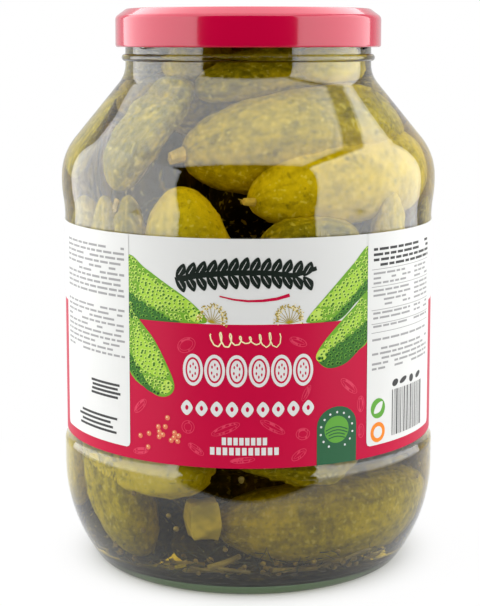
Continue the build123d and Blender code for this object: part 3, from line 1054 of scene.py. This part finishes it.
def drawRightPanel():
    # rows of print, a table and the bars of a code
    greeked(48, 88, 126.4, 119.6, 1.9, 0.95, "darkGrey", 0.05)
    for z in (118.7, 112.4, 104.0, 99.0, 95.8):
        bar("grey", 7, 47.2, 88, z - 0.12, z + 0.12)
    for top, bottom in ((117.6, 113.0), (111.4, 104.8), (103.2, 99.4), (98.4, 96.1)):
        greeked(48, 70, top, bottom, 1.75, 0.75)
        greeked(73, 87, top, bottom, 1.75, 0.75)
    greeked(47.6, 87, 93.6, 91.2, 1.8, 0.8)
    greeked(47.6, 87, 90.2, 81.7, 1.8, 0.8)
    s = 58.5
    while s < 81.5:
        wide = rng.choice((0.28, 0.28, 0.5, 0.8))
        bar("darkGrey", 7, s, s + wide, 56.6, 73.6)
        s += wide + rng.choice((0.3, 0.45, 0.7))
    for s, z, wide, tall in ((60.4, 76.0, 1.9, 1.3), (65.6, 76.2, 2.5, 1.0), (71.6, 75.8, 1.6, 1.5),
                             (77.4, 76.1, 2.2, 1.1)):
        disc("darkGrey", 7, s, z, wide, tall, turn=0.3, parts=14)
    disc("leafGreen", 7, 50.9, 68.0, 3.7, parts=24)
    printed("white", 8, curved([(48.8, 66.4), (50.2, 69.4), (53.2, 70.2), (52.0, 66.8)]))
    disc("orange", 7, 50.9, 59.2, 3.7, parts=24)
    disc("white", 8, 50.9, 59.2, 2.2, parts=18)


def drawLeftPanel():
    greeked(-88, -47.4, 126.6, 107.6, 1.9, 0.85)
    greeked(-88, -47.4, 104.2, 86.6, 1.85, 0.8)
    # a block of ragged lines: left end and its looseness, right end and its looseness, height, pitch
    for left, looseLeft, right, looseRight, low, pitch in ((-68, 2, -48.8, 3, 71.2, 1.55),
                                                           (-77, 3, -51.5, 4, 58.2, 1.7)):
        for step in range(4):
            first, last = left + rng.uniform(0, looseLeft), right - rng.uniform(0, looseRight)
            bar("darkGrey", 7, first, last, low + step * pitch, low + step * pitch + 0.9)


def drawLabel():
    low, high = labelSizes["bottom"], labelSizes["top"]
    drawCucumbers()
    drawSidePanels(low, high)
    drawGarland()
    drawMiddle()
    drawBadge(low)
    drawOnCrimson()
    # the edge where the label laps over itself at the back
    bar("grey", 1, 205.0, 205.3, low, high)
    drawRightPanel()
    drawLeftPanel()
    print(len(labelArt), "shapes printed on the label")


def wrapped(bm, radius):
    # cuts flat print into narrow strips, then lays it round the sleeve
    lowest, highest = min(vert.co.x for vert in bm.verts), max(vert.co.x for vert in bm.verts)
    strip = labelSizes["strip"]
    line = (int(lowest / strip) - 1) * strip
    while line < highest:
        if line > lowest:
            bmesh.ops.bisect_plane(bm, geom=bm.verts[:] + bm.edges[:] + bm.faces[:], dist=1e-6,
                                   plane_co=(line, 0, 0), plane_no=(1, 0, 0))
        line += strip
    girth = labelSizes["inner"] + labelSizes["thickness"]
    for vert in bm.verts:
        angle = vert.co.x / girth
        vert.co = Vector((radius * sin(angle), -radius * cos(angle), vert.co.z)) * mm


def buildSleeve():
    inner, outer = labelSizes["inner"], labelSizes["inner"] + labelSizes["thickness"]
    low, high = labelSizes["bottom"], labelSizes["top"]
    bm = spun([(inner, low), (outer, low), (outer, high), (inner, high), (inner, low)], 180)
    made, tree = material("labelPaper")
    above = axis(tree, coordinates(tree), "Z") > labelSizes["colourLine"] * mm
    colour = mixed(tree, above, inks["crimson"], labelSizes["paper"])
    finishMaterial(tree, principled(tree, Base_Color=colour, **labelSizes["finish"]))
    return finishPiece(bm, "labelSleeve", [made], ["label"], sharp=50)


def buildPrint():
    drawLabel()
    outer = labelSizes["inner"] + labelSizes["thickness"] + labelSizes["lift"]
    low, high = labelSizes["bottom"], labelSizes["top"]
    whole = bmesh.new()
    whole.loops.layers.float_color.new("ink")
    for layer in range(1, 9):
        for name, colour in inks.items():
            shapes = [points for ink, level, points in labelArt if ink == name and level == layer]
            if not shapes:
                continue
            bm = bmesh.new()
            own = bm.loops.layers.float_color.new("ink")
            for points in shapes:
                face = bm.faces.new([bm.verts.new((s, 0, min(max(z, low), high))) for s, z in points])
                face.normal_update()
                if face.normal.y > 0:
                    face.normal_flip()
            wrapped(bm, outer + labelSizes["layer"] * layer)
            for face in bm.faces:
                for loop in face.loops:
                    loop[own] = (*colour, 1)
            joinIn(whole, bm)
    made, tree = material("labelInk")
    colour = node(tree, "ShaderNodeVertexColor", {"layer_name": "ink"}, {})
    finishMaterial(tree, principled(tree, Base_Color=colour, **labelSizes["finish"]))
    return finishPiece(whole, "labelPrint", [made], smooth=False)


# floor, lamps, sky and camera, in metres
studio = {
    "floorFront": -0.19, "floorSide": 0.45, "floorBack": 0.9, "floorWhite": 0.82,
    # distances from the axis over which the floor turns white, and its dark colour through the glass, a
    # painted shadow
    "nearShadow": (0.052, 0.080), "farShadow": (0.08, 0.20), "farPart": 0.08,
    "dimReach": (0.08, 0.34), "dimColour": (0.10, 0.10, 0.09),
    "boxes": (
        # place, size, turn about Y in degrees, radiance
        ((-0.75, -0.07, 0.11), (1.22, 1.50), -90, 2.4),
        ((0.72, -0.165, 0.185), (1.37, 1.33), 90, 2.45),
        ((-0.168, 0.20, 0.80), (1.376, 1.8), 0, 1.9),
    ),
    "fill": 0.22,
    "lens": 89.47, "sensor": 36.0, "shift": (-0.0137, -0.1333), "eye": (0, -0.5846, 0.1995), "lookDown": 0.12,
}


def buildFloor():
    bm = bmesh.new()
    side, front, back = studio["floorSide"], studio["floorFront"], studio["floorBack"]
    corners = [(-side, front), (side, front), (side, back), (-side, back)]
    bm.faces.new([bm.verts.new((x, y, 0)) for x, y in corners])
    mesh = bpy.data.meshes.new("floor")
    bm.to_mesh(mesh)
    bm.free()
    made, tree = material("floorPaper")
    through = ray(tree, "Transmission")
    direct = ray(tree, "Camera").larger(ray(tree, "Glossy") * (1 - through))
    matte = node(tree, "ShaderNodeBsdfDiffuse", {}, {"Color": (studio["floorWhite"],) * 3})
    glow = node(tree, "ShaderNodeEmission", {}, {"Color": (1.0, 1.0, 1.0), "Strength": 1.0})
    # white away from the jar, and a soft shadow near it
    flat = node(tree, "ShaderNodeVectorMath", {"operation": "LENGTH"}, {0: coordinates(tree)}, "Value")
    far = smoothed(tree, flat, *studio["farShadow"]) * studio["farPart"]
    lit = smoothed(tree, flat, *studio["nearShadow"]) * (1 - studio["farPart"]) + far
    # painted shadow: seen through glass, the floor's matte part is dark and its glow fades out close to the
    # jar, so the floor under the base looks dim
    dim = smoothed(tree, flat, *studio["dimReach"])
    white = (direct * lit).larger(through * dim)
    dark = node(tree, "ShaderNodeBsdfDiffuse", {}, {"Color": studio["dimColour"]})
    paper = node(tree, "ShaderNodeMixShader", {}, {0: through, 1: matte, 2: dark})
    finishMaterial(tree, node(tree, "ShaderNodeMixShader", {}, {0: white, 1: paper, 2: glow}))
    mesh.materials.append(made)
    placed("floor", mesh)
    print("floor laid")


def buildLamps():
    for number, (place, size, turn, radiance) in enumerate(studio["boxes"]):
        lamp = bpy.data.lights.new("softbox%d" % number, "AREA")
        lamp.shape = "RECTANGLE"
        lamp.size, lamp.size_y = size
        lamp.energy = pi * radiance * size[0] * size[1]
        holder = placed(lamp.name, lamp)
        holder.location = place
        holder.rotation_euler = (0, radians(turn), 0)
        holder.visible_camera = False
    print(len(studio["boxes"]), "soft boxes set")


def buildSky():
    world = bpy.data.worlds.new("sky")
    world.use_nodes = True
    tree = world.node_tree
    tree.nodes.clear()
    seen, glossy, through = ray(tree, "Camera"), ray(tree, "Glossy"), ray(tree, "Transmission")
    back = axis(tree, coordinates(tree, "Generated"), "Y")
    mirrored = smoothed(tree, back, 0.35, 0.9) * (1 - through) * 0.7
    beyond = smoothed(tree, back, -0.05, 0.15) * through + mirrored
    white = seen.larger(glossy * beyond)
    strength = white + (1 - white) * ((1 - seen.larger(glossy)) * studio["fill"])
    glow = node(tree, "ShaderNodeBackground", {}, {"Color": (1.0, 1.0, 1.0), "Strength": strength})
    out = tree.nodes.new("ShaderNodeOutputWorld")
    tree.links.new(glow.socket, out.inputs["Surface"])
    bpy.context.scene.world = world
    print("sky set")


def buildCamera():
    lens = bpy.data.cameras.new("camera")
    lens.lens, lens.sensor_width = studio["lens"], studio["sensor"]
    lens.shift_x, lens.shift_y = studio["shift"]
    camera = placed("camera", lens)
    camera.location = studio["eye"]
    camera.rotation_euler = (pi / 2 - studio["lookDown"], 0, 0)
    bpy.context.scene.camera = camera
    print("camera set")


wallInside = fillProfile(jar["wall"], brineSizes["top"])
glassJar = buildJar()
lidShell = buildLid()
brineFill = buildBrine()
labelSleeve = buildSleeve()
labelPrint = buildPrint()
buildGherkins()
buildSeeds()
buildThreads()
buildStalks()
buildFlakes()
buildRoot()
buildFloor()
buildLamps()
buildSky()
buildCamera()
bpy.context.scene.view_settings.view_transform = "Standard"
